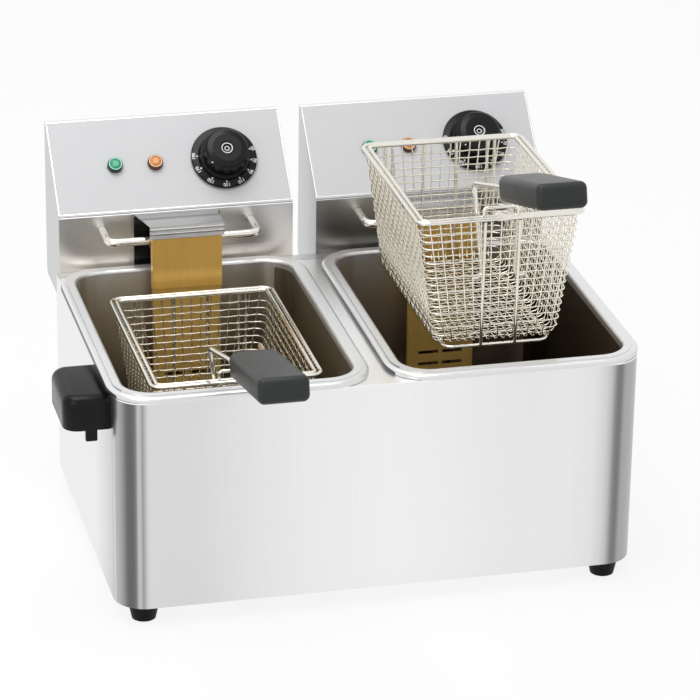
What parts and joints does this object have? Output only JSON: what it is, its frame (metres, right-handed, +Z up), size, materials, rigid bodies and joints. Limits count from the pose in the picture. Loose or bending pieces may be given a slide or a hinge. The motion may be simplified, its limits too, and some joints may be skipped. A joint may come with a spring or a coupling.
{
  "type": "deep fryer",
  "caption": "Double table-top deep fryer: steel housing with two lift-out oil tanks, lift-off control heads with dials and lamps, and wire baskets with grips.",
  "frame": {"origin": "under the middle of the whole, at the height of the feet", "axes": "+X to the right of the user, across the two tanks; +Y from the user towards the control heads; +Z up"},
  "size_m": [0.528, 0.5583, 0.4411],
  "materials": {
    "housing_steel": "fine vertical brushing",
    "tank_steel": "satin pressed steel",
    "head_steel": "fine brushing",
    "guard_steel": "satin",
    "panel_foil": "satin printed panel",
    "chromed_wire": "bright",
    "element_tube": "dull heated tube",
    "black_plastic": "glossy moulding",
    "grip_plastic": "soft satin moulding",
    "dial_plastic": "satin moulding",
    "green_lens": "clear tinted lens",
    "orange_lens": "clear tinted lens",
    "red_plastic": "glossy",
    "foot_rubber": "matt",
    "zinc_steel": "zinc plated",
    "steatite": "moulded insulating body",
    "copper_bulb": "bare copper alloy"
  },
  "bodies": {
    "housing": {"housing_shell": "housing_steel", "deck_plate": "housing_steel", "rear_panel": "housing_steel", "base_plate": "zinc_steel", "feet": "foot_rubber", "foot_screws": "zinc_steel", "carry_handle": "black_plastic", "handle_screws": "zinc_steel", "head_brackets": "zinc_steel"},
    "tank_left": {"tank_left": "tank_steel"},
    "head_left": {"head_case_left": "head_steel", "head_panel_left": "panel_foil", "element_cover_left": "guard_steel", "element_guard_left": "tank_steel", "heating_element_left": "element_tube", "hanging_bar_left": "chromed_wire", "lamp_green_left": "green_lens", "lamp_orange_left": "orange_lens", "thermostat_left": "steatite", "thermostat_bulb_left": "copper_bulb", "safety_thermostat_left": "black_plastic", "cord_gland_left": "black_plastic", "case_screws_left": "zinc_steel"},
    "knob_left": {"knob_left": "dial_plastic"},
    "reset_button_left": {"reset_button_left": "red_plastic"},
    "basket_left": {"basket_rim_left": "chromed_wire", "basket_front_left": "chromed_wire", "basket_rear_left": "chromed_wire", "basket_side_a_left": "chromed_wire", "basket_side_b_left": "chromed_wire", "basket_floor_left": "chromed_wire"},
    "handle_left": {"handle_wire_left": "chromed_wire", "handle_grip_left": "grip_plastic"},
    "tank_right": {"tank_right": "tank_steel"},
    "head_right": {"head_case_right": "head_steel", "head_panel_right": "panel_foil", "element_cover_right": "guard_steel", "element_guard_right": "tank_steel", "heating_element_right": "element_tube", "hanging_bar_right": "chromed_wire", "lamp_green_right": "green_lens", "lamp_orange_right": "orange_lens", "thermostat_right": "steatite", "thermostat_bulb_right": "copper_bulb", "safety_thermostat_right": "black_plastic", "cord_gland_right": "black_plastic", "case_screws_right": "zinc_steel"},
    "knob_right": {"knob_right": "dial_plastic"},
    "reset_button_right": {"reset_button_right": "red_plastic"},
    "basket_right": {"basket_rim_right": "chromed_wire", "basket_front_right": "chromed_wire", "basket_rear_right": "chromed_wire", "basket_side_a_right": "chromed_wire", "basket_side_b_right": "chromed_wire", "basket_floor_right": "chromed_wire"},
    "handle_right": {"handle_wire_right": "chromed_wire", "handle_grip_right": "grip_plastic"}
  },
  "joints": [
    {"name": "tank_left_lift", "type": "slide", "parent": "housing", "child": "tank_left", "axis": [0, 0, 1], "range_m": [0, 0.18]},
    {"name": "head_left_lift", "type": "slide", "parent": "tank_left", "child": "head_left", "axis": [0, 0, 1], "range_m": [0, 0.16]},
    {"name": "knob_left_turn", "type": "hinge", "parent": "head_left", "child": "knob_left", "pos_m": [-0.05315, 0.22732, 0.3085], "axis": [0, 0.7061, -0.7081], "range_deg": [0, 270]},
    {"name": "reset_left_push", "type": "slide", "parent": "head_left", "child": "reset_button_left", "axis": [0, -1, 0], "range_m": [0, 0.002], "stiffness_N_per_m": 400, "springref_m": -0.004},
    {"name": "basket_left_lift", "type": "slide", "parent": "head_left", "child": "basket_left", "axis": [0, 0, 1], "range_m": [0, 0.15]},
    {"name": "handle_left_fold", "type": "hinge", "parent": "basket_left", "child": "handle_left", "pos_m": [-0.107, -0.08395, 0.15765], "axis": [-1, 0, 0], "range_deg": [0, 112]},
    {"name": "tank_right_lift", "type": "slide", "parent": "housing", "child": "tank_right", "axis": [0, 0, 1], "range_m": [0, 0.18]},
    {"name": "head_right_lift", "type": "slide", "parent": "tank_right", "child": "head_right", "axis": [0, 0, 1], "range_m": [0, 0.16]},
    {"name": "knob_right_turn", "type": "hinge", "parent": "head_right", "child": "knob_right", "pos_m": [0.19715, 0.22732, 0.3085], "axis": [0, 0.7061, -0.7081], "range_deg": [0, 270]},
    {"name": "reset_right_push", "type": "slide", "parent": "head_right", "child": "reset_button_right", "axis": [0, -1, 0], "range_m": [0, 0.002], "stiffness_N_per_m": 400, "springref_m": -0.004},
    {"name": "basket_right_lift", "type": "slide", "parent": "head_right", "child": "basket_right", "axis": [0, 0, 1], "range_m": [0, 0.1]},
    {"name": "handle_right_fold", "type": "hinge", "parent": "basket_right", "child": "handle_right", "pos_m": [0.13715, -0.0696, 0.2884], "axis": [-1, 0, 0], "range_deg": [-4.5, 107.5]}
  ]
}
